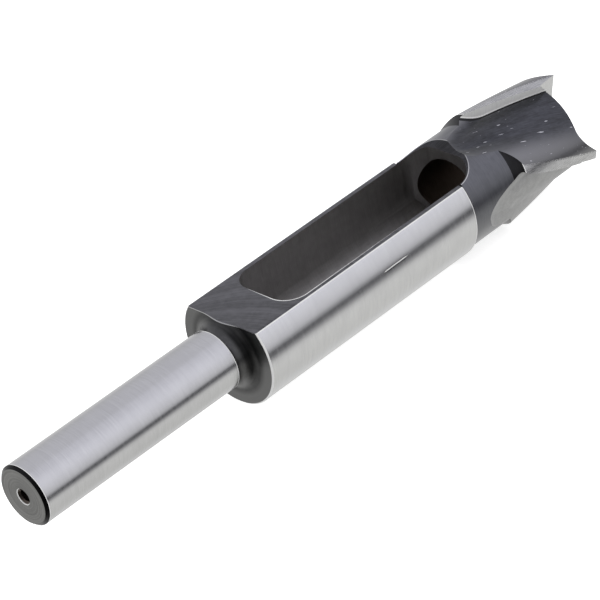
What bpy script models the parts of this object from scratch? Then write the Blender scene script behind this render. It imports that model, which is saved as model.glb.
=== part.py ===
"""Plug cutter: a one-piece cutter for wooden plugs, with a milled window and a four-toothed head.

Metres, +Z up. The tool lies on its side as it comes to rest: its axis runs along X, the shank
points to -X and the milled flat faces up. The origin is under its middle, on the surface below.
"""

import math

import bmesh
import bpy
from mathutils import Vector

# Shank
SHANK_DIAMETER = 0.0130
SHANK_LENGTH = 0.0502
SHANK_CHAMFER = 0.0006
CENTRE_HOLE_DIAMETER = 0.0025
CENTRE_HOLE_DEPTH = 0.0060
COUNTERSINK_DIAMETER = 0.0036

# Shoulder between the shank and the barrel
RELIEF_DIAMETER = 0.0120
RELIEF_LENGTH = 0.0006
SHOULDER_FILLET = 0.0030

# Barrel
BARREL_DIAMETER = 0.0239
BARREL_LENGTH = 0.0590
BARREL_CHAMFER_LENGTH = 0.0008
BARREL_CHAMFER_DEPTH = 0.0006

# Groove and neck in front of the barrel
GROOVE_WIDTH = 0.0005
GROOVE_DEPTH = 0.0004
NECK_DIAMETER = 0.0228
NECK_LENGTH = 0.0123
FLARE_LENGTH = 0.0026

# Head and bore
HEAD_DIAMETER = 0.0254
HEAD_LENGTH = 0.0213
PLUG_DIAMETER = 0.0150

# Flat milled along the barrel, its height taken from the axis
FLAT_HEIGHT = 0.00725
FLAT_RUNOUT_RADIUS = 0.0080
FLAT_RUNOUT_START = 0.0001

# Window milled down through the flat into the bore
WINDOW_WIDTH = 0.0167
WINDOW_LENGTH = 0.0543
WINDOW_CORNER_RADIUS = 0.0048
WINDOW_BACK_MARGIN = 0.0104

# Teeth and the flutes between them
TOOTH_COUNT = 4
TOOTH_LEAD = 0.208
TOOTH_PHASE = math.radians(10.4)
LAND_WIDTH = 0.0024
FLUTE_FLOOR_DIAMETER = 0.0204
FLUTE_FILLET = 0.0006
FLUTE_RUNOUT_LENGTH = 0.0040
FLUTE_RUNOUT_SWEEP = 0.0095
FLUTE_REACH_BACK = 0.0107
FLUTE_SWEEP_ANGLE = math.radians(40.0)
FACE_UNDERCUT_ANGLE = math.radians(20.0)
HEEL_FOOT_ANGLE = math.radians(42.0)
HEEL_CURVE = 1.4
HEEL_BULGE = 0.9

# Ground front end
GASH_DEPTH = 0.0033
GASH_BEVEL = 0.72
GASH_SLOPE_ANGLE = math.radians(20.0)
GASH_SLOPE_CURVE = 2.2
GASH_SIDE_ANGLE = math.radians(0.7)
GASH_LEAN_ANGLE = math.radians(4.7)
TOOTH_RELIEF = 0.0004
OBLIQUE_TEETH = (0, 3)

# Fineness of the curved surfaces
TURNED_STEPS = 72
ARC_STEPS = 6
FLOOR_STEPS = 8
HEEL_STEPS = 10
CUTTER_MARGIN = 0.0020
MERGE_DISTANCE = 0.00001

# Stations along the axis, from the end of the shank
BARREL_BACK = SHANK_LENGTH + RELIEF_LENGTH + SHOULDER_FILLET
BARREL_FRONT = BARREL_BACK + BARREL_LENGTH
NECK_BACK = BARREL_FRONT + GROOVE_WIDTH
NECK_FRONT = NECK_BACK + NECK_LENGTH
HEAD_BACK = NECK_FRONT + FLARE_LENGTH
HEAD_FRONT = HEAD_BACK + HEAD_LENGTH

SHANK_RADIUS = SHANK_DIAMETER / 2
BARREL_RADIUS = BARREL_DIAMETER / 2
NECK_RADIUS = NECK_DIAMETER / 2
HEAD_RADIUS = HEAD_DIAMETER / 2
FLOOR_RADIUS = FLUTE_FLOOR_DIAMETER / 2
CUTTER_RADIUS = HEAD_RADIUS + CUTTER_MARGIN
CUTTER_FRONT = HEAD_FRONT + CUTTER_MARGIN

TOOTH_PITCH = 2 * math.pi / TOOTH_COUNT
FLUTE_SPAN = TOOTH_PITCH - LAND_WIDTH / HEAD_RADIUS
RIM_STATION = HEAD_FRONT - GASH_DEPTH


def clear_scene():
    for obj in list(bpy.data.objects):
        bpy.data.objects.remove(obj, do_unlink=True)


def make_collection(name):
    collection = bpy.data.collections.new(name)
    bpy.context.scene.collection.children.link(collection)
    return collection


def make_steel():
    material = bpy.data.materials.new("ground_steel")
    material.use_nodes = True
    shader = material.node_tree.nodes["Principled BSDF"]
    shader.inputs["Base Color"].default_value = (0.56, 0.56, 0.58, 1.0)
    shader.inputs["Metallic"].default_value = 1.0
    shader.inputs["Roughness"].default_value = 0.32
    return material


def make_axis():
    """Empty at the end of the shank, on the tool's axis, which carries the tool and its cutters."""
    axis = bpy.data.objects.new("tool_axis", None)
    axis.location = (-HEAD_FRONT / 2, 0.0, HEAD_RADIUS)
    bpy.context.scene.collection.objects.link(axis)
    return axis


def add_object(name, mesh, axis, collection, cutter=True):
    obj = bpy.data.objects.new(name, mesh)
    obj.parent = axis
    collection.objects.link(obj)
    if cutter:
        obj.hide_render = True
        obj.display_type = "WIRE"
    return obj


def around(x, radius, angle):
    """Point at a station and a radius, turned by an angle from the top towards +Y."""
    return Vector((x, radius * math.sin(angle), radius * math.cos(angle)))


def arc(centre, radius, start, end, steps=ARC_STEPS):
    """Points of an arc in a plane, from one angle to another."""
    angles = [start + (end - start) * i / steps for i in range(steps + 1)]
    return [(centre[0] + radius * math.cos(a), centre[1] + radius * math.sin(a)) for a in angles]


def profile_mesh(name, points):
    """Open outline in the XZ plane: station along X, radius along Z."""
    mesh = bpy.data.meshes.new(name)
    edges = [(i, i + 1) for i in range(len(points) - 1)]
    mesh.from_pydata([(x, 0.0, radius) for x, radius in points], edges, [])
    return mesh


def turn_about_axis(obj):
    screw = obj.modifiers.new("turning", "SCREW")
    screw.axis = "X"
    screw.steps = TURNED_STEPS
    screw.render_steps = TURNED_STEPS
    screw.use_smooth_shade = True
    screw.use_normal_flip = True
    screw.use_merge_vertices = True
    screw.merge_threshold = MERGE_DISTANCE


def extrude_outline(name, points, direction):
    """Closed solid from an outline of 3D points, carried along a direction."""
    bm = bmesh.new()
    face = bm.faces.new([bm.verts.new(point) for point in points])
    carried = bmesh.ops.extrude_face_region(bm, geom=[face])["geom"]
    verts = [item for item in carried if isinstance(item, bmesh.types.BMVert)]
    bmesh.ops.translate(bm, verts=verts, vec=direction)
    return solid_mesh(name, bm)


def loft(name, sections):
    """Closed solid through sections, each an inner row of points and an outer row run backwards.

    The ends are capped with strips between the two rows.
    """
    bm = bmesh.new()
    rings = [[bm.verts.new(point) for point in section] for section in sections]
    count = len(rings[0])
    for ring in (rings[0], rings[-1]):
        for i in range(count // 2 - 1):
            bm.faces.new((ring[i], ring[i + 1], ring[count - 2 - i], ring[count - 1 - i]))
    for first, second in zip(rings, rings[1:]):
        for i in range(count):
            j = (i + 1) % count
            bm.faces.new((first[i], first[j], second[j], second[i]))
    return solid_mesh(name, bm)


def solid_mesh(name, bm):
    bmesh.ops.triangulate(bm, faces=bm.faces)
    bmesh.ops.recalc_face_normals(bm, faces=bm.faces)
    mesh = bpy.data.meshes.new(name)
    bm.to_mesh(mesh)
    bm.free()
    return mesh


def boolean(obj, cutter, operation="DIFFERENCE"):
    modifier = obj.modifiers.new(cutter.name, "BOOLEAN")
    modifier.operation = operation
    modifier.solver = "EXACT"
    modifier.object = cutter


def make_blank(axis, parts):
    """The turned bar before it is milled: shank, shoulder, barrel, groove, neck, flare and head."""
    relief_radius = RELIEF_DIAMETER / 2
    fillet_centre = (BARREL_BACK - SHOULDER_FILLET, relief_radius + SHOULDER_FILLET)
    groove_radius = NECK_RADIUS - GROOVE_DEPTH
    outline = [
        (0.0, 0.0),
        (0.0, SHANK_RADIUS - SHANK_CHAMFER),
        (SHANK_CHAMFER, SHANK_RADIUS),
        (SHANK_LENGTH, SHANK_RADIUS),
        (SHANK_LENGTH + SHANK_RADIUS - relief_radius, relief_radius),
    ]
    outline += arc(fillet_centre, SHOULDER_FILLET, -math.pi / 2, 0.0)
    outline += [
        (BARREL_BACK, BARREL_RADIUS - BARREL_CHAMFER_DEPTH),
        (BARREL_BACK + BARREL_CHAMFER_LENGTH, BARREL_RADIUS),
        (BARREL_FRONT, BARREL_RADIUS),
        (BARREL_FRONT, groove_radius),
        (NECK_BACK, groove_radius),
        (NECK_BACK, NECK_RADIUS),
    ]
    outline += [(NECK_FRONT, NECK_RADIUS), (HEAD_BACK, HEAD_RADIUS)]
    outline += [(HEAD_FRONT, HEAD_RADIUS), (HEAD_FRONT, 0.0)]
    blank = add_object("plug_cutter", profile_mesh("plug_cutter", outline), axis, parts, cutter=False)
    turn_about_axis(blank)
    return blank


def flat_cutter(axis, cutters):
    """Takes away everything above the flat and ends in a concave run-out at the front."""
    start = BARREL_FRONT + FLAT_RUNOUT_START
    centre = (start, FLAT_HEIGHT + FLAT_RUNOUT_RADIUS)
    outline = [(SHANK_LENGTH, centre[1]), (SHANK_LENGTH, FLAT_HEIGHT)]
    outline += arc(centre, FLAT_RUNOUT_RADIUS, -math.pi / 2, 0.0, 3 * ARC_STEPS)
    half_width = HEAD_RADIUS + CUTTER_MARGIN
    points = [(x, -half_width, z) for x, z in outline]
    mesh = extrude_outline("flat_cutter", points, (0.0, 2 * half_width, 0.0))
    return add_object("flat_cutter", mesh, axis, cutters)


def window_cutter(axis, cutters):
    """A slot with round corners seen from above, and a half-round floor seen along the axis."""
    back = BARREL_BACK + WINDOW_BACK_MARGIN
    front = back + WINDOW_LENGTH
    half = WINDOW_WIDTH / 2
    corner = WINDOW_CORNER_RADIUS
    plan = []
    for index, (x, y) in enumerate(((back, -half), (front, -half), (front, half), (back, half))):
        inset_x = corner if x == back else -corner
        inset_y = corner if y < 0 else -corner
        start = math.pi + index * math.pi / 2
        plan += arc((x + inset_x, y + inset_y), corner, start, start + math.pi / 2)
    top = HEAD_RADIUS + CUTTER_MARGIN
    points = [(x, y, -top) for x, y in plan]
    mesh = extrude_outline("window_cutter", points, (0.0, 0.0, 2 * top))
    window = add_object("window_cutter", mesh, axis, cutters)

    section = [(half, 2 * top), (-half, 2 * top)] + arc((0.0, 0.0), half, math.pi, 2 * math.pi, 24)
    points = [(back - CUTTER_MARGIN, y, z) for y, z in section]
    mesh = extrude_outline("window_floor", points, (WINDOW_LENGTH + 2 * CUTTER_MARGIN, 0.0, 0.0))
    boolean(window, add_object("window_floor", mesh, axis, cutters), "INTERSECT")
    return window


def bore_cutter(axis, cutters):
    """The bore that the plug stands in, from the window out through the head."""
    back = BARREL_BACK + WINDOW_BACK_MARGIN + WINDOW_LENGTH - 2 * WINDOW_CORNER_RADIUS
    radius = PLUG_DIAMETER / 2
    outline = [(back, 0.0), (back, radius), (CUTTER_FRONT, radius), (CUTTER_FRONT, 0.0)]
    bore = add_object("bore_cutter", profile_mesh("bore_cutter", outline), axis, cutters)
    turn_about_axis(bore)
    return bore


def centre_hole_cutter(axis, cutters):
    radius = CENTRE_HOLE_DIAMETER / 2
    sink = COUNTERSINK_DIAMETER / 2
    outline = [
        (-CUTTER_MARGIN, 0.0),
        (-CUTTER_MARGIN, sink + CUTTER_MARGIN),
        (sink - radius, radius),
        (CENTRE_HOLE_DEPTH, radius),
        (CENTRE_HOLE_DEPTH + radius, 0.0),
    ]
    hole = add_object("centre_hole_cutter", profile_mesh("centre_hole", outline), axis, cutters)
    turn_about_axis(hole)
    return hole


def leading_angle(x, tooth):
    """Angle of a tooth's leading edge at a station; the teeth are right-hand helices."""
    turned = 2 * math.pi * (x - HEAD_BACK) / TOOTH_LEAD
    return TOOTH_PHASE - turned - tooth * TOOTH_PITCH


def flute_radius(x, turn):
    """Radius of a flute's floor, at a turn back from the leading face towards the next heel."""
    flute_back = HEAD_BACK - FLUTE_REACH_BACK
    sweep = max(0.0, 1 - turn / FLUTE_SWEEP_ANGLE) ** 1.6
    ahead = (x - flute_back - FLUTE_RUNOUT_SWEEP * sweep) / FLUTE_RUNOUT_LENGTH
    depth = NECK_RADIUS - FLOOR_RADIUS
    rise = (1 - min(ahead, 1.0)) ** 2 if ahead > 0 else 1 - 2 * ahead
    floor = FLOOR_RADIUS + depth * rise

    climb = max(0.0, (turn - HEEL_FOOT_ANGLE) / (FLUTE_SPAN - HEEL_FOOT_ANGLE))
    share = climb ** HEEL_CURVE * (1 + HEEL_BULGE * (1 - climb))
    return floor + (HEAD_RADIUS - floor) * share


def face_turn(radius):
    """Turn of the undercut leading face at a radius; it passes through the land's edge."""
    return math.atan(math.tan(FACE_UNDERCUT_ANGLE) * (radius - HEAD_RADIUS) / radius)


def flute_section(x, tooth):
    """Outline of what is milled away between two teeth at one station."""
    start = leading_angle(x, tooth)
    foot = HEEL_FOOT_ANGLE
    end = FLUTE_SPAN + CUTTER_MARGIN / HEAD_RADIUS
    fillet_turn = FLUTE_FILLET / FLOOR_RADIUS
    floor_turn = fillet_turn + face_turn(FLOOR_RADIUS)
    rows = []
    for i in range(ARC_STEPS):
        bend = i / ARC_STEPS * math.pi / 2
        raised = FLUTE_FILLET * (1 - math.sin(bend))
        rows.append((face_turn(FLOOR_RADIUS + raised) + fillet_turn * (1 - math.cos(bend)), raised))
    rows += [(floor_turn + (foot - floor_turn) * i / FLOOR_STEPS, 0.0) for i in range(FLOOR_STEPS)]
    rows += [(foot + (FLUTE_SPAN - foot) * i / HEEL_STEPS, 0.0) for i in range(HEEL_STEPS + 1)]
    rows.append((end, 0.0))
    inner = [around(x, flute_radius(x, turn) + raised, start - turn) for turn, raised in rows]

    far = 2 * CUTTER_RADIUS
    first = face_turn(far)
    shares = [i / (len(rows) - 1) for i in range(len(rows))]
    outer = [around(x, far, start - first - (end - first) * share) for share in shares]
    return inner + outer[::-1]


def flute_cutter(tooth, axis, cutters):
    back = HEAD_BACK - FLUTE_REACH_BACK - CUTTER_MARGIN
    fine_end = HEAD_BACK + FLUTE_RUNOUT_LENGTH
    fine = [back + (fine_end - back) * i / 14 for i in range(15)]
    coarse = [fine_end + (CUTTER_FRONT - fine_end) * i / 8 for i in range(1, 9)]
    sections = [flute_section(x, tooth) for x in fine + coarse]
    mesh = loft("flute_cutter_" + str(tooth + 1), sections)
    return add_object(mesh.name, mesh, axis, cutters)


def end_station(turn):
    """Where the front end lies at a turn back from a leading face: gash, its slope, then a tooth."""
    slope_start = FLUTE_SPAN - GASH_SLOPE_ANGLE
    slope = min(1.0, max(0.0, (turn - slope_start) / GASH_SLOPE_ANGLE)) ** GASH_SLOPE_CURVE
    relief = max(0.0, (turn - FLUTE_SPAN) / (TOOTH_PITCH - FLUTE_SPAN))
    return RIM_STATION + (GASH_DEPTH - TOOTH_RELIEF) * slope + TOOTH_RELIEF * relief


def end_section(tooth, turn, station, bevel, lean=0.0):
    """Section of an end cutter: all that lies in front of a bevelled line through the flute's rim."""
    inner = PLUG_DIAMETER / 2 - CUTTER_MARGIN
    low = station + bevel * (FLOOR_RADIUS - inner)
    high = station - bevel * (CUTTER_RADIUS - FLOOR_RADIUS)
    corners = (
        (low, inner, turn - lean),
        (high, CUTTER_RADIUS, turn),
        (CUTTER_FRONT, CUTTER_RADIUS, turn),
        (CUTTER_FRONT, inner, turn - lean),
    )
    return [around(x, radius, leading_angle(x, tooth) - back) for x, radius, back in corners]


def gash_cutter(tooth, axis, cutters):
    """Grinds the front end between two leading faces: a bevelled gash, its slope and the relief."""
    slope_start = FLUTE_SPAN - GASH_SLOPE_ANGLE
    turns = [GASH_SIDE_ANGLE + (slope_start - GASH_SIDE_ANGLE) * i / 8 for i in range(8)]
    turns += [slope_start + GASH_SLOPE_ANGLE * i / 6 for i in range(7)]
    turns.append(TOOTH_PITCH - GASH_SIDE_ANGLE / 4)
    sections = []
    for turn in turns:
        bevel = GASH_BEVEL * min(1.0, max(0.0, (FLUTE_SPAN - turn) / GASH_SLOPE_ANGLE))
        lean = GASH_LEAN_ANGLE if turn == turns[0] else 0.0
        sections.append(end_section(tooth, turn, end_station(turn), bevel, lean))
    mesh = loft("gash_cutter_" + str(tooth + 1), sections)
    return add_object(mesh.name, mesh, axis, cutters)


def tip_cutter(tooth, axis, cutters):
    """Grinds the front of a tooth obliquely, from the gash before it up to its heel."""
    land = TOOTH_PITCH - FLUTE_SPAN
    sections = [end_section(tooth, 2 * GASH_SIDE_ANGLE, RIM_STATION, GASH_BEVEL)]
    for i in range(7):
        share = i / 6
        station = RIM_STATION + (GASH_DEPTH - TOOTH_RELIEF) * share
        sections.append(end_section(tooth, -land * share, station, GASH_BEVEL * (1 - share)))
    sections.append(end_section(tooth, -land - GASH_SIDE_ANGLE, HEAD_FRONT - TOOTH_RELIEF, 0.0))
    mesh = loft("tip_cutter_" + str(tooth + 1), sections)
    return add_object(mesh.name, mesh, axis, cutters)


def bake_cuts(obj):
    """Keeps the milled form as the mesh, shaded smooth across gentle angles only."""
    graph = bpy.context.evaluated_depsgraph_get()
    mesh = bpy.data.meshes.new_from_object(obj.evaluated_get(graph))
    obj.modifiers.clear()
    obj.data = mesh
    mesh.shade_smooth()
    mesh.set_sharp_from_angle(angle=math.radians(28.0))


def main():
    clear_scene()
    parts = make_collection("plug_cutter")
    cutters = make_collection("cutters")
    axis = make_axis()
    tool = make_blank(axis, parts)
    boolean(tool, flat_cutter(axis, cutters))
    boolean(tool, window_cutter(axis, cutters))
    for tooth in range(TOOTH_COUNT):
        boolean(tool, flute_cutter(tooth, axis, cutters))
    for tooth in range(TOOTH_COUNT):
        boolean(tool, gash_cutter(tooth, axis, cutters))
    for tooth in OBLIQUE_TEETH:
        boolean(tool, tip_cutter(tooth, axis, cutters))
    boolean(tool, bore_cutter(axis, cutters))
    boolean(tool, centre_hole_cutter(axis, cutters))
    bake_cuts(tool)
    tool.data.materials.append(make_steel())


main()
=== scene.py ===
import math

import bmesh
import bpy
import numpy as np
from mathutils import Matrix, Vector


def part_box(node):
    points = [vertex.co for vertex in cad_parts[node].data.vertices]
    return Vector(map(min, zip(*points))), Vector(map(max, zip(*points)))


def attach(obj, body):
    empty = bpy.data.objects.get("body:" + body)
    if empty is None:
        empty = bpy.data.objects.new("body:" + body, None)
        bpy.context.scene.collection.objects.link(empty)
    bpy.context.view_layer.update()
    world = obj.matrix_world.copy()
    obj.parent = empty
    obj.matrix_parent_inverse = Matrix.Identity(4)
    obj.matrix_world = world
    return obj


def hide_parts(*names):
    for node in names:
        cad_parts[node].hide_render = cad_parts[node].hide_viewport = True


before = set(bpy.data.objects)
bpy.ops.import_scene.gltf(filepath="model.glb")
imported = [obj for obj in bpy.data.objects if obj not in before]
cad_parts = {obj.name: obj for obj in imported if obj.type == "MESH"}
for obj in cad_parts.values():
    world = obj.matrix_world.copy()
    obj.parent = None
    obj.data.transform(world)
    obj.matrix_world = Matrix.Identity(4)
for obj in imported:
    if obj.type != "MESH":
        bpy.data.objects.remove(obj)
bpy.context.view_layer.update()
boxLow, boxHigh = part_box("plug_cutter")
axisHeight = (boxLow.z + boxHigh.z) / 2
print("packed tool loaded")


# sizes of the tool, in metres, from the end of the shank along its axis

shank = {
    "radius": 0.0065,
    "length": 0.0502,
    "chamfer": 0.0006,
    "centreHoleRadius": 0.00125,
    "centreHoleDepth": 0.0060,
    "countersinkRadius": 0.0018,
    "holeSteps": 96,
}
shoulder = {"radius": 0.0060, "length": 0.0006, "fillet": 0.0030}
barrel = {"radius": 0.01195, "length": 0.0590, "chamferLength": 0.0003, "chamferDepth": 0.0003}
neck = {
    "grooveWidth": 0.0005,
    "grooveDepth": 0.0004,
    "radius": 0.0114,
    "length": 0.0123,
    "flareLength": 0.0026,
}
head = {"radius": 0.0127, "length": 0.0213, "plugRadius": 0.0075}

barrelBack = shank["length"] + shoulder["length"] + shoulder["fillet"]
barrelFront = barrelBack + barrel["length"]
neckBack = barrelFront + neck["grooveWidth"]
neckFront = neckBack + neck["length"]
headBack = neckFront + neck["flareLength"]
headFront = headBack + head["length"]
margin = 0.0020  # how far the cutters reach past the steel
cutterRadius = head["radius"] + margin
cutterFront = headFront + margin


# mesh tools

mergeGap = 1e-7  # points of a new shape nearer than this, in metres, are one point
sliverGap = 2e-6  # the same for the tool once the cuts are made


def onTool(x, radius, angle):
    # a point's station, then its radius times the sine and cosine of its angle from the top,
    # which grows towards +Y
    x, radius, angle = np.broadcast_arrays(x, radius, angle)
    return np.stack([x, radius * np.sin(angle), radius * np.cos(angle)], axis=-1)


def wallQuads(index):
    # rows of point numbers, each closed into a ring: a face joins two neighbours of a row to the
    # same two of the next
    onward = np.roll(index, -1, axis=1)
    return np.stack([index[:-1], onward[:-1], onward[1:], index[1:]], axis=-1)


def closedMesh(name, points, faces, slots=None):
    # merges doubles, turns the faces outwards and moves the shape to where the tool lies
    mesh = bpy.data.meshes.new(name)
    mesh.from_pydata(points.reshape(-1, 3).tolist(), [], faces)
    if slots is not None:
        mesh.polygons.foreach_set("material_index", np.asarray(slots, dtype=np.int32))
    shape = bmesh.new()
    shape.from_mesh(mesh)
    bmesh.ops.remove_doubles(shape, verts=shape.verts, dist=mergeGap)
    bmesh.ops.recalc_face_normals(shape, faces=shape.faces)
    bmesh.ops.translate(shape, verts=shape.verts, vec=(boxLow.x, 0.0, axisHeight))
    shape.to_mesh(mesh)
    shape.free()
    return mesh


def addObject(name, mesh, materials):
    for material in materials:
        mesh.materials.append(material)
    thing = bpy.data.objects.new(name, mesh)
    bpy.context.scene.collection.objects.link(thing)
    return thing


def turnedMesh(name, profile, steps, slots=None):
    # a profile of (station, radius) carried round the axis: radius r goes to r sin, r cos
    profile = np.asarray(profile)
    angles = np.arange(steps) * 2 * np.pi / steps
    points = onTool(profile[:, None, 0], profile[:, None, 1], angles[None, :])
    quads = wallQuads(np.arange(points.shape[0] * steps).reshape(-1, steps)).reshape(-1, 4)
    if slots is not None:
        slots = np.repeat(slots, steps)
    return closedMesh(name, points, quads.tolist(), slots)


def stackedMesh(name, levels, slots=None):
    # outlines with as many points each, joined level by level and capped at both ends;
    # slots gives each wall of a level its finish
    levels = np.asarray(levels, dtype=float)
    count = levels.shape[1]
    index = np.arange(levels.shape[0] * count).reshape(-1, count)
    faces = wallQuads(index).reshape(-1, 4).tolist() + [index[0].tolist(), index[-1].tolist()]
    if slots is not None:
        slots = np.append(np.broadcast_to(slots, (len(levels) - 1, count)), [0, 0])
    return closedMesh(name, levels, faces, slots)


def prismMesh(name, outline, shift, slots=None):
    # an outline of points, and the same outline moved by a shift, with walls between them
    outline = np.asarray(outline, dtype=float)
    return stackedMesh(name, [outline, outline + np.asarray(shift)], slots)


def loftMesh(name, inner, outer, slots=None):
    # inner and outer are grids of points, station by turn: the solid between them has a wall on
    # each side, and slots gives the columns of faces that have a finish other than the first
    stations, turns = inner.shape[:2]
    ring = np.concatenate([inner, outer[:, ::-1]], axis=1)
    size = 2 * turns
    index = np.arange(stations * size).reshape(stations, size)
    quads = wallQuads(index)
    faceSlots = np.zeros(quads.shape[:2], dtype=int)
    for slot, columns in (slots or {}).items():
        faceSlots[:, columns] = slot
    quads = quads.reshape(-1, 4).tolist()
    faceSlots = faceSlots.ravel().tolist()
    step = np.arange(turns - 1)
    for end in (index[0], index[-1]):
        strip = [end[step], end[step + 1], end[size - 2 - step], end[size - 1 - step]]
        quads += np.stack(strip, axis=-1).tolist()
        faceSlots += [0] * len(step)
    return closedMesh(name, ring, quads, faceSlots)


def arcPoints(centre, radius, start, end, steps):
    # centre plus radius times the cosine and sine of angles spaced evenly from start to end
    angles = np.linspace(start, end, steps + 1)
    circle = [centre[0] + radius * np.cos(angles), centre[1] + radius * np.sin(angles)]
    return np.stack(circle, axis=-1)


# finishes of the steel

def addNode(tree, kind, settings=None, **values):
    # n0, n1 and so on are sockets by their number; a value that is a socket itself is linked
    made = tree.nodes.new(kind)
    for name, value in (settings or {}).items():
        setattr(made, name, value)
    for name, value in values.items():
        byNumber = name[0] == "n" and name[1:].isdigit()
        socket = made.inputs[int(name[1:]) if byNumber else name]
        if isinstance(value, bpy.types.NodeSocket):
            tree.links.new(value, socket)
        else:
            socket.default_value = value
    return made


def numbered(values):
    # the values as n0, n1 and so on, for addNode
    return {"n" + str(i): value for i, value in enumerate(values)}


def mathStep(tree, operation, *values):
    # one step of arithmetic on numbers
    made = addNode(tree, "ShaderNodeMath", {"operation": operation}, **numbered(values))
    return made.outputs[0]


def vectorStep(tree, operation, *values):
    # one step on vectors; a length and a dot product come out as a number
    made = addNode(tree, "ShaderNodeVectorMath", {"operation": operation}, **numbered(values))
    return made.outputs["Value" if operation in ("LENGTH", "DOT_PRODUCT") else 0]


def spanned(tree, value, span, out=(0.0, 1.0), smooth=False):
    # a value carried from one span to another, straight or along a smooth step, held at both ends
    style = {"interpolation_type": "SMOOTHSTEP" if smooth else "LINEAR"}
    ends = dict(zip(("From Min", "From Max", "To Min", "To Max"), (*span, *out)))
    return addNode(tree, "ShaderNodeMapRange", style, Value=value, **ends).outputs[0]


def mixed(tree, share, colour, other):
    # two colours, each a socket or three numbers, mixed by a share of the second
    first, second = (value if isinstance(value, bpy.types.NodeSocket) else (*value, 1.0)
                     for value in (colour, other))
    style = {"data_type": "RGBA"}
    return addNode(tree, "ShaderNodeMix", style, n0=share, n6=first, n7=second).outputs[2]


def noiseStep(tree, where, scale, detail):
    made = addNode(tree, "ShaderNodeTexNoise", Vector=where, Scale=scale, Detail=detail)
    return made.outputs[0]


def fromAxis(tree, place):
    return vectorStep(tree, "SUBTRACT", place, (0.0, 0.0, axisHeight))


def radiusAt(tree, place):
    # the distance from the tool's axis: the length of the offset without its part along X
    across = vectorStep(tree, "MULTIPLY", fromAxis(tree, place), (0.0, 1.0, 1.0))
    return vectorStep(tree, "LENGTH", across)


def markPlace(tree, place, look):
    # where the marks' noise is read: drawn out along a direction, by the distance from the axis
    # (rings), or by the distance along X from a milling arc
    if look["pattern"] == "drawn":
        return addNode(
            tree, "ShaderNodeMapping", {"vector_type": "TEXTURE"},
            Vector=place, Rotation=look["turn"], Scale=look["stretch"],
        ).outputs[0]
    if look["pattern"] == "rings":
        along = radiusAt(tree, place)
    else:
        parts = addNode(tree, "ShaderNodeSeparateXYZ", Vector=place)
        across = mathStep(tree, "SUBTRACT", parts.outputs[1], look["arcCentre"])
        square = mathStep(tree, "POWER", across, 2.0)
        sag = mathStep(tree, "SQRT", mathStep(tree, "SUBTRACT", look["arcRadius"] ** 2, square))
        along = mathStep(tree, "SUBTRACT", parts.outputs[0], sag)
    line = addNode(tree, "ShaderNodeCombineXYZ", X=along).outputs[0]
    return vectorStep(tree, "MULTIPLY_ADD", place, look["stretch"], line)


def fadedColour(tree, place, colour, fade):
    # the colour turns into another between two distances from the axis, or two heights over it
    if fade["by"] == "height":
        reach = vectorStep(tree, "DOT_PRODUCT", fromAxis(tree, place), (0.0, 0.0, 1.0))
    else:
        reach = radiusAt(tree, place)
    return mixed(tree, spanned(tree, reach, fade["span"], smooth=True), colour, fade["colour"])


def fleckedColour(tree, where, colour, flecks):
    # a second noise on the marks' own coordinates, bright only where it peaks
    spots = noiseStep(tree, where, flecks["scale"], flecks["detail"])
    return mixed(tree, spanned(tree, spots, flecks["span"]), colour, flecks["colour"])


noise = {
    "marksDetail": 3.0, "broadDetail": 2.0, "cloudDetail": 4.0,
    "broadSize": 7.0,  # broad marks are this much larger than the fine ones
    "glossSpan": (0.3, 0.7),
}


def steelFinish(name, look):
    # two scales of marks and soft clouds vary the colour; the marks vary the roughness and
    # raise a fine bump
    material = bpy.data.materials.new(name)
    material.use_nodes = True
    tree = material.node_tree
    shader = tree.nodes["Principled BSDF"]
    shader.inputs["Metallic"].default_value = look["metal"]
    shader.inputs["Coat Weight"].default_value = look["coat"]
    shader.inputs["Coat Roughness"].default_value = look["coatGloss"]
    place = addNode(tree, "ShaderNodeTexCoord").outputs["Object"]
    where = markPlace(tree, place, look)
    marks = noiseStep(tree, where, look["marks"], noise["marksDetail"])
    broad = noiseStep(tree, where, look["marks"] / noise["broadSize"], noise["broadDetail"])
    clouds = noiseStep(tree, place, look["clouds"], noise["cloudDetail"])
    lines = mathStep(tree, "MULTIPLY_ADD", broad, look["broadShare"], marks)
    both = mathStep(tree, "MULTIPLY_ADD", clouds, look["cloudShare"], lines)
    middle = (1 + look["broadShare"] + look["cloudShare"]) / 2
    share = spanned(tree, both, (middle - look["contrast"], middle + look["contrast"]))
    tone = mixed(tree, share, look["dark"], look["light"])
    for fade in look["fades"]:
        tone = fadedColour(tree, place, tone, fade)
    if look["flecks"]:
        tone = fleckedColour(tree, where, tone, look["flecks"])
    tree.links.new(tone, shader.inputs["Base Color"])
    gloss = spanned(tree, marks, noise["glossSpan"], look["gloss"])
    tree.links.new(gloss, shader.inputs["Roughness"])
    bump = addNode(
        tree, "ShaderNodeBump", Height=marks, Strength=look["bump"], Distance=look["bumpHeight"]
    )
    tree.links.new(bump.outputs[0], shader.inputs["Normal"])
    return material


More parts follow.
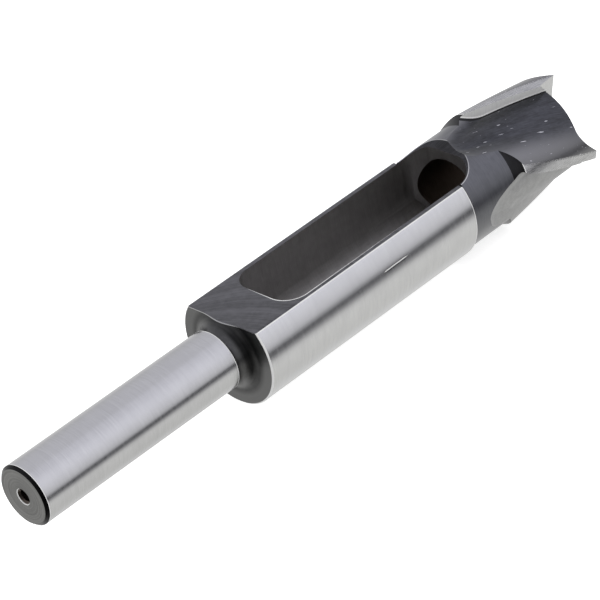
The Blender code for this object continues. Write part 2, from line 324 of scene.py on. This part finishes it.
helixTurn = (0.0, 0.21, -0.27)  # turns the marks of the flutes and lands along the teeth
groundLook = {  # bright ground skin of the barrel; the other bright finishes start from it
    "dark": (0.57, 0.57, 0.58), "light": (0.67, 0.67, 0.68),
    "metal": 1.0, "coat": 0.0, "coatGloss": 0.1,
    "pattern": "drawn", "turn": (0.0, 0.0, 0.0), "stretch": (1.0, 50.0, 50.0), "marks": 9000.0,
    "clouds": 260.0, "cloudShare": 0.4, "broadShare": 0.2, "contrast": 0.32,
    "fades": [], "flecks": None,
    "gloss": (0.17, 0.25), "bump": 0.05, "bumpHeight": 0.00001,
}
shankLook = dict(groundLook, dark=(0.52, 0.52, 0.53), light=(0.62, 0.62, 0.63))
landLook = dict(
    groundLook, dark=(0.38, 0.38, 0.39), light=(0.64, 0.64, 0.65), turn=helixTurn,
    stretch=(14.0, 1.0, 1.0), marks=4200.0, broadShare=0.7, contrast=0.42, gloss=(0.22, 0.32),
)
# painted highlight: a pale, barely metallic grey that stands in for the glint along edges, on the
# window's border, the edge breaks, the centre hole's rim and the scratch's floor
paintedHighlightLook = dict(
    groundLook, dark=(0.70, 0.70, 0.70), light=(0.88, 0.88, 0.88), metal=0.15, gloss=(0.3, 0.4),
)
hardenedLook = {  # dark skin left by hardening, on the neck; the other dark finishes start from it
    "dark": (0.078, 0.080, 0.092), "light": (0.118, 0.121, 0.138),
    "metal": 1.0, "coat": 1.0, "coatGloss": 0.25,
    "pattern": "drawn", "turn": (0.0, 0.0, 0.0), "stretch": (1.0, 20.0, 20.0), "marks": 6000.0,
    "clouds": 700.0, "cloudShare": 0.6, "broadShare": 0.3, "contrast": 0.34,
    "fades": [], "flecks": None,
    "gloss": (0.30, 0.40), "bump": 0.15, "bumpHeight": 0.00002,
}
milledLook = dict(
    hardenedLook, dark=(0.024, 0.024, 0.030), light=(0.094, 0.093, 0.106), pattern="arcs",
    arcCentre=-0.019, arcRadius=0.032, stretch=(0.03, 0.03, 0.03), marks=3600.0, broadShare=0.9,
    contrast=0.23,
)
# the flat's milled finish painted darker on the ramp as shade, and near white at its rim as a
# painted highlight
rampLook = dict(
    milledLook, dark=(0.018, 0.018, 0.022), light=(0.060, 0.060, 0.068),
    fades=[{"by": "radius", "span": (0.01122, 0.01130), "colour": (0.72, 0.72, 0.73)}],
)
# the flutes' finish turns lighter towards their outer radius, a painted highlight where each flute
# rises to the heel
fluteLook = dict(
    hardenedLook, dark=(0.018, 0.019, 0.025), light=(0.052, 0.054, 0.067), turn=helixTurn,
    coat=0.75, stretch=(10.0, 1.0, 1.0), marks=4500.0, broadShare=0.8, contrast=0.26,
    fades=[{"by": "radius", "span": (0.0104, 0.0124), "colour": (0.18, 0.18, 0.19)}],
    flecks={"scale": 3900.0, "detail": 0.0, "span": (0.81, 0.84), "colour": (0.70, 0.70, 0.74)},
)
litFluteLook = dict(  # the flute that faces the floor, painted paler and duller as lit
    hardenedLook, dark=(0.31, 0.31, 0.315), light=(0.50, 0.50, 0.505), turn=helixTurn, coat=0.3,
    stretch=(3.0, 1.0, 1.0), gloss=(0.45, 0.58), bump=0.1,
)
boreLook = dict(hardenedLook, dark=(0.11, 0.09, 0.075), light=(0.17, 0.14, 0.12), coat=0.3)
# painted shade: near black, for the blank's shank chamfer, groove and flare, the flutes' deeper
# fillet steps and the scratch's flanks
paintedShadeLook = dict(hardenedLook, dark=(0.010, 0.010, 0.011), light=(0.024, 0.024, 0.026), coat=0.25)
slotLook = dict(
    hardenedLook, dark=(0.26, 0.25, 0.245), light=(0.36, 0.35, 0.345), gloss=(0.40, 0.50),
    coatGloss=0.45,
)
# the shoulder turns grey towards its rim, and near white in a thin strip just under the flat as a
# painted highlight along the flat's rear edge
shoulderLook = dict(
    hardenedLook, dark=(0.032, 0.032, 0.033), light=(0.085, 0.085, 0.085), pattern="rings",
    stretch=(0.02, 0.02, 0.02), marks=2600.0, broadShare=0.6, coat=0.6,
    fades=[{"by": "radius", "span": (0.0084, 0.0102), "colour": (0.20, 0.20, 0.20)},
           {"by": "height", "span": (0.00704, 0.00711), "colour": (0.75, 0.75, 0.76)}],
)
faceLook = dict(
    groundLook, dark=(0.21, 0.21, 0.207), light=(0.38, 0.38, 0.373), pattern="rings",
    stretch=(0.02, 0.02, 0.02), marks=3200.0, broadShare=0.8, contrast=0.34,
)

groundSteel = steelFinish("groundSteel", groundLook)
shankSteel = steelFinish("shankSteel", shankLook)
landSteel = steelFinish("landSteel", landLook)
hardenedSteel = steelFinish("hardenedSteel", hardenedLook)
milledSteel = steelFinish("milledSteel", milledLook)
rampSteel = steelFinish("rampSteel", rampLook)
fluteSteel = steelFinish("fluteSteel", fluteLook)
litFluteSteel = steelFinish("litFluteSteel", litFluteLook)
boreSteel = steelFinish("boreSteel", boreLook)
paintedShadeSteel = steelFinish("paintedShadeSteel", paintedShadeLook)
slotSteel = steelFinish("slotSteel", slotLook)
shoulderSteel = steelFinish("shoulderSteel", shoulderLook)
paintedHighlightSteel = steelFinish("paintedHighlightSteel", paintedHighlightLook)
faceSteel = steelFinish("faceSteel", faceLook)
print("finishes made")


# turned blank

# edge is also the width of the thin bands of painted highlight along the blank's edges
turning = {"steps": 216, "filletSteps": 16, "edge": 0.00015, "sharpAngle": math.radians(28.0)}
# the edge finish is a painted highlight and the dark finish a painted shade
blankFinishes = {
    "ground": groundSteel, "hardened": hardenedSteel, "face": faceSteel,
    "shoulder": shoulderSteel, "edge": paintedHighlightSteel, "dark": paintedShadeSteel,
    "shank": shankSteel, "land": landSteel,
}


def blankProfile():
    # straight runs and a quarter circle at the shoulder, each with the finish that leads up to it
    filletCentre = (barrelBack - shoulder["fillet"], shoulder["radius"] + shoulder["fillet"])
    fillet = arcPoints(
        filletCentre, shoulder["fillet"], -np.pi / 2, 0.0, turning["filletSteps"]
    )
    stepFront = shank["length"] + shank["radius"] - shoulder["radius"]
    grooveRadius = neck["radius"] - neck["grooveDepth"]
    edge = turning["edge"]
    flareRise = edge * (head["radius"] - neck["radius"]) / neck["flareLength"]
    # the edge runs are thin bands of painted highlight; the dark runs paint shade on the shank's
    # chamfer, the groove before the neck and the flare up to the head
    runs = [
        ([(0.0, 0.0), (0.0, shank["radius"] - shank["chamfer"])], "face"),
        ([(shank["chamfer"], shank["radius"])], "dark"),
        ([(shank["chamfer"] + edge, shank["radius"])], "edge"),
        ([(shank["length"] - edge, shank["radius"])], "shank"),
        ([(shank["length"], shank["radius"])], "edge"),
        ([(stepFront, shoulder["radius"])], "shoulder"),
        (fillet, "shoulder"),
        ([(barrelBack, barrel["radius"] - barrel["chamferDepth"])], "shoulder"),
        ([(barrelBack + barrel["chamferLength"], barrel["radius"])], "edge"),
        ([(barrelFront - edge, barrel["radius"])], "ground"),
        ([(barrelFront, barrel["radius"])], "edge"),
        ([(barrelFront, grooveRadius), (neckBack, grooveRadius)], "dark"),
        ([(neckBack, neck["radius"]), (neckFront, neck["radius"])], "hardened"),
        ([(headBack - edge, head["radius"] - flareRise)], "dark"),
        ([(headBack, head["radius"])], "edge"),
        ([(headFront, head["radius"])], "land"),
        ([(headFront, 0.0)], "face"),
    ]
    order = list(blankFinishes)
    points = np.concatenate([np.asarray(part, dtype=float) for part, finish in runs])
    slots = np.concatenate([np.full(len(part), order.index(finish)) for part, finish in runs])
    return points, slots[1:]


# milled cuts

flat = {
    "height": 0.00725,
    "runoutRadius": 0.0080,
    "runoutStart": 0.0001,
    "edgeBreak": 0.00016,
    "breakReach": 4,  # the cutter of the edge break is this many times wider
    "steps": 40,
}
window = {
    "width": 0.0167,
    "length": 0.0543,
    "corner": 0.0048,
    "backMargin": 0.0104,
    "highlightLeast": -0.0001,  # inside the window's edge at the front, where there is no painted highlight
    "highlightMost": 0.00022,
    "highlightDepth": 0.00001,
    "highlightCurve": 0.5,
    "highlightSide": 0.8,
    "steps": 14,
    "floorSteps": 64,
}


def flatCutter():
    # everything above the flat, ended by a quarter circle with its centre over the barrel's front
    start = barrelFront + flat["runoutStart"]
    centre = (start, flat["height"] + flat["runoutRadius"])
    corner = np.array([(shank["length"], centre[1]), (shank["length"], flat["height"])])
    ramp = arcPoints(centre, flat["runoutRadius"], -np.pi / 2, 0.0, flat["steps"])
    outline = np.concatenate([corner, ramp])
    near = np.full(len(outline), -cutterRadius)
    points = np.stack([outline[:, 0], near, outline[:, 1]], axis=-1)
    slots = np.repeat([0, 1, 0], [len(corner), flat["steps"], 1])
    shape = prismMesh("flatCutter", points, (0, 2 * cutterRadius, 0), slots)
    return addObject("flatCutter", shape, [milledSteel, rampSteel])


def windowPlan(height, least, most):
    # a rectangle with quarter-circle corners at one height, grown by least, and by up to most
    # with the root of the distance behind the barrel's front and towards the near side
    back = barrelBack + window["backMargin"]
    front = back + window["length"]
    half = window["width"] / 2
    corner = window["corner"]
    centres = [(back + corner, corner - half), (front - corner, corner - half),
               (front - corner, half - corner), (back + corner, half - corner)]
    plan, wider = (np.concatenate([
        arcPoints(centre, corner + more, np.pi * start, np.pi * (start + 0.5), window["steps"])
        for start, centre in zip((1.0, 1.5, 2.0, 2.5), centres)
    ]) for more in (least, most))
    behind = np.clip((barrelFront - plan[:, 0]) / (barrelFront - back), 0.0, 1.0)
    near = np.clip(window["highlightSide"] - plan[:, 1] / half, 0.0, 1.0)
    share = behind ** window["highlightCurve"] * near
    plan = plan + share[:, None] * (wider - plan)
    return np.column_stack([plan, np.full(len(plan), height)])


def burrCutter():
    # a very shallow border of the window on the flat, painted bright as a highlight along the
    # window's edge
    levels = [windowPlan(height, window["highlightLeast"], window["highlightMost"])
              for height in (flat["height"] - window["highlightDepth"], cutterRadius)]
    return addObject("burrCutter", stackedMesh("burrCutter", levels), [paintedHighlightSteel])


def windowCutter():
    # the plan carried down through the flat and crossed with a half-round floor
    half = window["width"] / 2
    levels = [windowPlan(height, 0.0, 0.0) for height in (-cutterRadius, cutterRadius)]
    slotShape = addObject("windowCutter", stackedMesh("windowCutter", levels), [slotSteel])
    floor = arcPoints((0.0, 0.0), half, np.pi, 2 * np.pi, window["floorSteps"])
    wide = half + margin
    high = 2 * cutterRadius
    section = np.concatenate([[(wide, 0.0), (wide, high), (-wide, high), (-wide, 0.0)], floor])
    start = barrelBack + window["backMargin"] - margin
    points = np.stack([np.full(len(section), start), section[:, 0], section[:, 1]], axis=-1)
    reach = window["length"] + 2 * margin
    floorMesh = prismMesh("windowFloor", points, (reach, 0, 0))
    cut(slotShape, addObject("windowFloor", floorMesh, [slotSteel]), "INTERSECT")
    return slotShape


def edgeCutter(side):
    # breaks the long edge between the flat and the barrel with a plane halfway between the two, its
    # face painted bright as a highlight
    edgeTurn = math.acos(flat["height"] / barrel["radius"])
    lean = edgeTurn / 2
    depth = flat["edgeBreak"] * math.sin(lean)
    wide = flat["breakReach"] * flat["edgeBreak"]
    along, over = np.array([(-wide, -depth), (wide, -depth), (wide, wide), (-wide, wide)]).T
    edge = barrel["radius"] * math.sin(edgeTurn)
    y = side * (edge + along * math.cos(lean) + over * math.sin(lean))
    z = flat["height"] - along * math.sin(lean) + over * math.cos(lean)
    points = np.stack([np.full(4, barrelBack - margin), y, z], axis=-1)
    reach = barrelFront - barrelBack + margin
    return addObject("edgeCutter", prismMesh("edgeCutter", points, (reach, 0, 0)), [paintedHighlightSteel])


def boreCutter():
    # the plug's bore: a cylinder from inside the window out past the teeth
    back = barrelBack + window["backMargin"] + window["length"] - 2 * window["corner"]
    radius = head["plugRadius"]
    profile = [(back, 0.0), (back, radius), (cutterFront, radius), (cutterFront, 0.0)]
    return addObject("boreCutter", turnedMesh("boreCutter", profile, turning["steps"]), [boreSteel])


def centreHoleCutter():
    # a drilled hole that ends in a cone, with a cone for the countersink and a painted highlight
    # round its rim
    radius = shank["centreHoleRadius"]
    depth = shank["centreHoleDepth"]
    sink = shank["countersinkRadius"]
    edge = turning["edge"]
    profile = [(-margin, 0.0), (-margin, sink + margin), (edge, sink - edge),
               (sink - radius, radius), (depth, radius), (depth + radius, 0.0)]
    shape = turnedMesh("centreHoleCutter", profile, shank["holeSteps"], [0, 1, 0, 0, 0])
    return addObject("centreHoleCutter", shape, [boreSteel, paintedHighlightSteel])


# teeth

teeth = {
    "count": 4,
    "lead": 0.208,
    "phase": math.radians(10.4),
    "landWidth": 0.0024,
    "floorRadius": 0.0102,
    "fillet": 0.0006,
    "undercut": math.radians(20.0),
    "runoutLength": 0.0040,
    "runoutSweep": 0.0095,
    "reachBack": 0.0107,
    "sweepAngle": math.radians(40.0),
    "sweepCurve": 1.6,
    "heelFoot": math.radians(42.0),
    "heelCurve": 1.4,
    "heelBulge": 0.9,
    "filletSteps": 10,
    "highlightSteps": 5,  # the first of the fillet's steps carry a painted highlight, the others a painted shade
    "floorSteps": 28,
    "heelSteps": 36,
    "stations": (48, 40),
    "litFlute": 1,
}
pitch = 2 * math.pi / teeth["count"]
fluteSpan = pitch - teeth["landWidth"] / head["radius"]


def leadingAngle(x, tooth):
    # a right-hand helix: the angle falls by a full turn in each lead
    return teeth["phase"] - 2 * np.pi * (x - headBack) / teeth["lead"] - tooth * pitch


def fluteRadius(x, turn):
    # a level floor, lifted by a parabola (1 - ahead)^2 where it runs out at the back, by the
    # parabola's tangent farther back, and by climb^1.4 (1.9 - 0.9 climb) up to the heel
    sweep = np.clip(1 - turn / teeth["sweepAngle"], 0.0, None) ** teeth["sweepCurve"]
    runoutBack = headBack - teeth["reachBack"]
    ahead = (x - runoutBack - teeth["runoutSweep"] * sweep) / teeth["runoutLength"]
    rise = np.where(ahead > 0, (1 - np.clip(ahead, 0.0, 1.0)) ** 2, 1 - 2 * ahead)
    floor = teeth["floorRadius"] + (neck["radius"] - teeth["floorRadius"]) * rise
    climb = np.clip((turn - teeth["heelFoot"]) / (fluteSpan - teeth["heelFoot"]), 0.0, None)
    share = climb ** teeth["heelCurve"] * (1 + teeth["heelBulge"] * (1 - climb))
    return floor + (head["radius"] - floor) * share


def faceTurn(radius):
    # the undercut leading face: a plane leaning back from the land's edge, as a turn at each radius
    return np.arctan(np.tan(teeth["undercut"]) * (radius - head["radius"]) / radius)


def fluteCutter(tooth):
    # a grid of stations by turns, its radius from fluteRadius, with a quarter-round fillet at
    # the leading face
    back = headBack - teeth["reachBack"] - margin
    middle = headBack + teeth["runoutLength"]
    fine, coarse = teeth["stations"]
    ahead = np.linspace(middle, cutterFront, coarse)[1:]
    x = np.concatenate([np.linspace(back, middle, fine), ahead])[:, None]
    filletTurn = teeth["fillet"] / teeth["floorRadius"]
    bend = np.arange(teeth["filletSteps"]) / teeth["filletSteps"] * np.pi / 2
    filletRise = teeth["fillet"] * (1 - np.sin(bend))
    filletStart = faceTurn(teeth["floorRadius"] + filletRise)
    floorStart = filletTurn + faceTurn(teeth["floorRadius"])
    last = fluteSpan + margin / head["radius"]
    turns = np.concatenate([
        filletStart + filletTurn * (1 - np.cos(bend)),
        np.linspace(floorStart, teeth["heelFoot"], teeth["floorSteps"], endpoint=False),
        np.linspace(teeth["heelFoot"], fluteSpan, teeth["heelSteps"] + 1),
        [last],
    ])[None, :]
    raised = np.zeros_like(turns)
    raised[0, :len(bend)] = filletRise
    inner = onTool(x, fluteRadius(x, turns) + raised, leadingAngle(x, tooth) - turns)
    far = 2 * cutterRadius
    farTurns = np.linspace(faceTurn(far), last, turns.shape[1])[None, :]
    outer = onTool(x, far, leadingAngle(x, tooth) - farTurns)
    name = "fluteCutter" + str(tooth + 1)
    bright = teeth["highlightSteps"]
    # the leading face and the fillet's first steps are painted highlight, the fillet's other steps
    # painted shade
    slots = {1: range(-1, bright), 2: range(bright, len(bend))}
    # one flute gets a paler finish as painted light
    floorSteel = litFluteSteel if tooth == teeth["litFlute"] else fluteSteel
    return addObject(name, loftMesh(name, inner, outer, slots), [floorSteel, paintedHighlightSteel, paintedShadeSteel])


# ground front end

frontEnd = {
    "gashDepth": 0.0033,
    "bevel": 0.72,
    "slopeAngle": math.radians(20.0),
    "slopeCurve": 2.2,
    "sideAngle": math.radians(0.7),
    "leanAngle": math.radians(4.7),
    "relief": 0.0004,
    "obliqueTeeth": (0, 3),
    "steps": (24, 16),
    "tipSteps": 12,
}


def endCutter(name, tooth, turns, station, bevel, lean):
    # at each turn, all in front of the line station + bevel (floor radius - radius); the inner
    # edge leans back
    innerRadius = head["plugRadius"] - margin
    low = station + bevel * (teeth["floorRadius"] - innerRadius)
    high = station - bevel * (cutterRadius - teeth["floorRadius"])
    inner = np.stack([onTool(low, innerRadius, leadingAngle(low, tooth) - turns + lean),
                      onTool(high, cutterRadius, leadingAngle(high, tooth) - turns)], axis=1)
    angle = leadingAngle(cutterFront, tooth) - turns
    outer = np.stack([onTool(cutterFront, innerRadius, angle + lean),
                      onTool(cutterFront, cutterRadius, angle)], axis=1)
    return addObject(name, loftMesh(name, inner, outer), [groundSteel])


def gashCutter(tooth):
    # the end's station against turn: level, then a power curve up to the heel, then a slight
    # rise to the edge
    slopeStart = fluteSpan - frontEnd["slopeAngle"]
    side = frontEnd["sideAngle"]
    level, slope = frontEnd["steps"]
    turns = np.concatenate([
        np.linspace(side, slopeStart, level, endpoint=False),
        np.linspace(slopeStart, fluteSpan, slope),
        [pitch - side / 4],
    ])
    climb = np.clip((turns - slopeStart) / frontEnd["slopeAngle"], 0.0, 1.0)
    relief = np.clip((turns - fluteSpan) / (pitch - fluteSpan), 0.0, None)
    rise = (frontEnd["gashDepth"] - frontEnd["relief"]) * climb ** frontEnd["slopeCurve"]
    station = headFront - frontEnd["gashDepth"] + rise + frontEnd["relief"] * relief
    bevel = frontEnd["bevel"] * np.clip((fluteSpan - turns) / frontEnd["slopeAngle"], 0.0, 1.0)
    lean = np.where(turns == turns[0], frontEnd["leanAngle"], 0.0)
    return endCutter("gashCutter" + str(tooth + 1), tooth, turns, station, bevel, lean)


def tipCutter(tooth):
    # station and bevel run evenly from those of the gash, at the leading edge, to the heel's
    # front and none
    side = frontEnd["sideAngle"]
    land = pitch - fluteSpan
    turns = np.concatenate([
        [2 * side], np.linspace(0.0, -land, frontEnd["tipSteps"] + 1), [-land - side],
    ])
    share = np.clip(-turns / land, 0.0, 1.0)
    rise = (frontEnd["gashDepth"] - frontEnd["relief"]) * share
    station = headFront - frontEnd["gashDepth"] + rise
    bevel = frontEnd["bevel"] * (1 - share)
    return endCutter("tipCutter" + str(tooth + 1), tooth, turns, station, bevel, 0.0)


# a scratch on the barrel

scratch = {
    "back": 0.08656,
    "front": 0.09328,
    "turns": (math.radians(-76.24), math.radians(-75.87)),
    "halfWidth": 0.00030,
    "depth": 0.00010,
    "floorShare": 0.45,
    "squareness": 6,
    "reach": 4.0,  # the cutter stands this many depths over the barrel
    "ends": (0.002, 0.998),
    "steps": 24,
}


def scratchCutter():
    # a trough section scaled along its run by the root of 1 - (2 t - 1)^6, with a floor painted
    # bright as a highlight and flanks painted dark as shade
    t = np.linspace(*scratch["ends"], scratch["steps"])[:, None]
    swell = np.sqrt(1 - (2 * t - 1) ** scratch["squareness"])
    floor = scratch["floorShare"]
    top = scratch["reach"]
    section = np.array([(-1.0, top), (-1.0, 0.0), (-floor, -1.0),
                        (floor, -1.0), (1.0, 0.0), (1.0, top)])
    across = swell * section[:, 0] * scratch["halfWidth"]
    height = swell * section[:, 1] * scratch["depth"]
    x = scratch["back"] + t * (scratch["front"] - scratch["back"])
    angle = scratch["turns"][0] + t * (scratch["turns"][1] - scratch["turns"][0])
    levels = onTool(x, barrel["radius"] + height, angle + across / barrel["radius"])
    shape = stackedMesh("scratchCutter", levels, [0, 1, 2, 1, 0, 0])
    return addObject("scratchCutter", shape, [groundSteel, paintedShadeSteel, paintedHighlightSteel])


# the tool

def cut(thing, cutter, operation="DIFFERENCE"):
    # applies the Boolean, keeps the cutter's finish on the cut faces, and removes the cutter
    modifier = thing.modifiers.new(cutter.name, "BOOLEAN")
    modifier.operation = operation
    modifier.solver = "EXACT"
    modifier.material_mode = "TRANSFER"
    modifier.object = cutter
    bpy.context.view_layer.update()
    finished = thing.evaluated_get(bpy.context.evaluated_depsgraph_get())
    result = bpy.data.meshes.new_from_object(finished)
    thing.modifiers.clear()
    thing.data = result
    bpy.data.objects.remove(cutter)


def cleanSlivers(mesh):
    # merges the near points that the cuts leave where two edges almost meet
    shape = bmesh.new()
    shape.from_mesh(mesh)
    bmesh.ops.remove_doubles(shape, verts=shape.verts, dist=sliverGap)
    bmesh.ops.dissolve_degenerate(shape, edges=shape.edges, dist=sliverGap)
    shape.to_mesh(mesh)
    shape.free()


def makeTool():
    profile, slots = blankProfile()
    blank = turnedMesh("plugCutterBody", profile, turning["steps"], slots)
    tool = addObject("plugCutterBody", blank, blankFinishes.values())
    cut(tool, flatCutter())
    for side in (-1, 1):
        cut(tool, edgeCutter(side))
    cut(tool, burrCutter())
    cut(tool, windowCutter())
    for tooth in range(teeth["count"]):
        cut(tool, fluteCutter(tooth))
    for tooth in range(teeth["count"]):
        cut(tool, gashCutter(tooth))
    for tooth in frontEnd["obliqueTeeth"]:
        cut(tool, tipCutter(tooth))
    cut(tool, boreCutter())
    cut(tool, centreHoleCutter())
    cut(tool, scratchCutter())
    cleanSlivers(tool.data)
    tool.data.name = "plugCutterBody"
    tool.data.shade_smooth()
    tool.data.set_sharp_from_angle(angle=turning["sharpAngle"])
    return tool


tool = makeTool()
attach(tool, "root")
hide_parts("plug_cutter")
print("tool made,", len(tool.data.polygons), "faces")


# studio: floor, world light and camera

studio = {
    "floorSize": 6.0,
    "floorColour": (0.90, 0.90, 0.90),
    "floorGlow": 0.70,
    "frontBands": (
        (-0.84, (0.78, 0.78, 0.755)), (-0.55, (0.86, 0.86, 0.835)), (-0.43, (0.82, 0.82, 0.805)),
        (-0.30, (0.26, 0.26, 0.27)), (-0.22, (0.06, 0.06, 0.065)), (-0.15, (0.06, 0.06, 0.065)),
        (-0.05, (0.68, 0.68, 0.70)), (0.14, (0.84, 0.84, 0.87)), (0.50, (1.00, 1.00, 1.07)),
        (0.72, (0.97, 0.97, 1.05)), (0.86, (0.83, 0.83, 0.90)),
    ),
    "backBands": (
        (-0.50, (0.80, 0.80, 0.79)), (-0.17, (0.78, 0.78, 0.78)), (0.0, (0.70, 0.70, 0.71)),
        (0.20, (0.65, 0.65, 0.67)), (0.50, (0.70, 0.70, 0.74)), (0.82, (0.73, 0.73, 0.78)),
    ),
    "backSpan": (-0.12, 0.12),  # where the front's bands give way to the back's
    "sideSpan": (-0.10, -0.50),  # where the light falls off towards the shank's side
    "frontShade": 0.13,
    "backShade": 0.60,
}
view = {
    "place": (-0.35351447, -0.42646582, 0.36674473),
    "right": (0.68709744, -0.70704731, -0.16727585),
    "up": (0.48967467, 0.28054966, 0.82553656),
    "back": (-0.53676422, -0.6491348, 0.53898811),
    "lens": 201.9198,
    "sensor": 36.0,
    "clipStart": 0.01,
}


def bandRamp(tree, height, bands):
    # colour against the height of a direction, which the ramp takes from -1..1 to 0..1
    ramp = addNode(tree, "ShaderNodeValToRGB", Fac=height)
    stops = ramp.color_ramp.elements
    while len(stops) < len(bands):
        stops.new(0.5)  # each is then moved to its place
    for stop, (at, colour) in zip(stops, bands):
        stop.position = (at + 1) / 2
        stop.color = (*colour, 1.0)
    return ramp.outputs[0]


def makeWorld():
    # plain white for the camera and the floor; metal reflects soft bands, darker under the
    # front and towards the shank's side
    world = bpy.data.worlds.new("studioLight")
    bpy.context.scene.world = world
    world.use_nodes = True
    tree = world.node_tree
    direction = addNode(tree, "ShaderNodeTexCoord").outputs["Generated"]
    parts = addNode(tree, "ShaderNodeSeparateXYZ", Vector=direction)
    height = spanned(tree, parts.outputs[2], (-1.0, 1.0))
    front = bandRamp(tree, height, studio["frontBands"])
    behind = bandRamp(tree, height, studio["backBands"])
    toBack = spanned(tree, parts.outputs[1], studio["backSpan"], smooth=True)
    bands = mixed(tree, toBack, front, behind)
    shade = spanned(tree, toBack, (0.0, 1.0), (studio["frontShade"], studio["backShade"]))
    toSide = spanned(tree, parts.outputs[0], studio["sideSpan"], (1.0, shade), smooth=True)
    scaling = {"operation": "SCALE"}
    shaded = addNode(tree, "ShaderNodeVectorMath", scaling, n0=bands, Scale=toSide)
    rays = addNode(tree, "ShaderNodeLightPath")
    choice = mixed(tree, rays.outputs["Is Glossy Ray"], (1.0, 1.0, 1.0), shaded.outputs[0])
    tree.links.new(choice, tree.nodes["Background"].inputs["Color"])


def makeFloor():
    # a white floor that keeps a soft shadow: part of its brightness is its own, the rest is the
    # light it gets
    half = studio["floorSize"] / 2
    mesh = bpy.data.meshes.new("studioFloor")
    corners = [(-half, -half, 0.0), (half, -half, 0.0), (half, half, 0.0), (-half, half, 0.0)]
    mesh.from_pydata(corners, [], [(0, 1, 2, 3)])
    material = bpy.data.materials.new("paleFloor")
    material.use_nodes = True
    tree = material.node_tree
    shader = tree.nodes["Principled BSDF"]
    shader.inputs["Base Color"].default_value = (*studio["floorColour"], 1.0)
    shader.inputs["Roughness"].default_value = 1.0
    shader.inputs["Specular IOR Level"].default_value = 0.0
    shader.inputs["Emission Color"].default_value = (1.0, 1.0, 1.0, 1.0)
    rays = addNode(tree, "ShaderNodeLightPath")
    glow = mathStep(tree, "MULTIPLY", rays.outputs["Is Camera Ray"], studio["floorGlow"])
    tree.links.new(glow, shader.inputs["Emission Strength"])
    floor = addObject("studioFloor", mesh, [material])
    floor.visible_glossy = False


def makeCamera():
    # the camera's axes are the first three columns of its matrix, its place is the fourth
    camera = bpy.data.cameras.new("photoView")
    camera.lens = view["lens"]
    camera.sensor_width = view["sensor"]
    camera.clip_start = view["clipStart"]
    holder = bpy.data.objects.new("photoView", camera)
    bpy.context.scene.collection.objects.link(holder)
    columns = [view["right"], view["up"], view["back"], view["place"]]
    rows = [[column[i] for column in columns] for i in range(3)] + [[0.0, 0.0, 0.0, 1.0]]
    holder.matrix_world = Matrix(rows)
    bpy.context.scene.camera = holder


makeWorld()
makeFloor()
makeCamera()
bpy.context.scene.view_settings.view_transform = "Standard"
print("studio made")
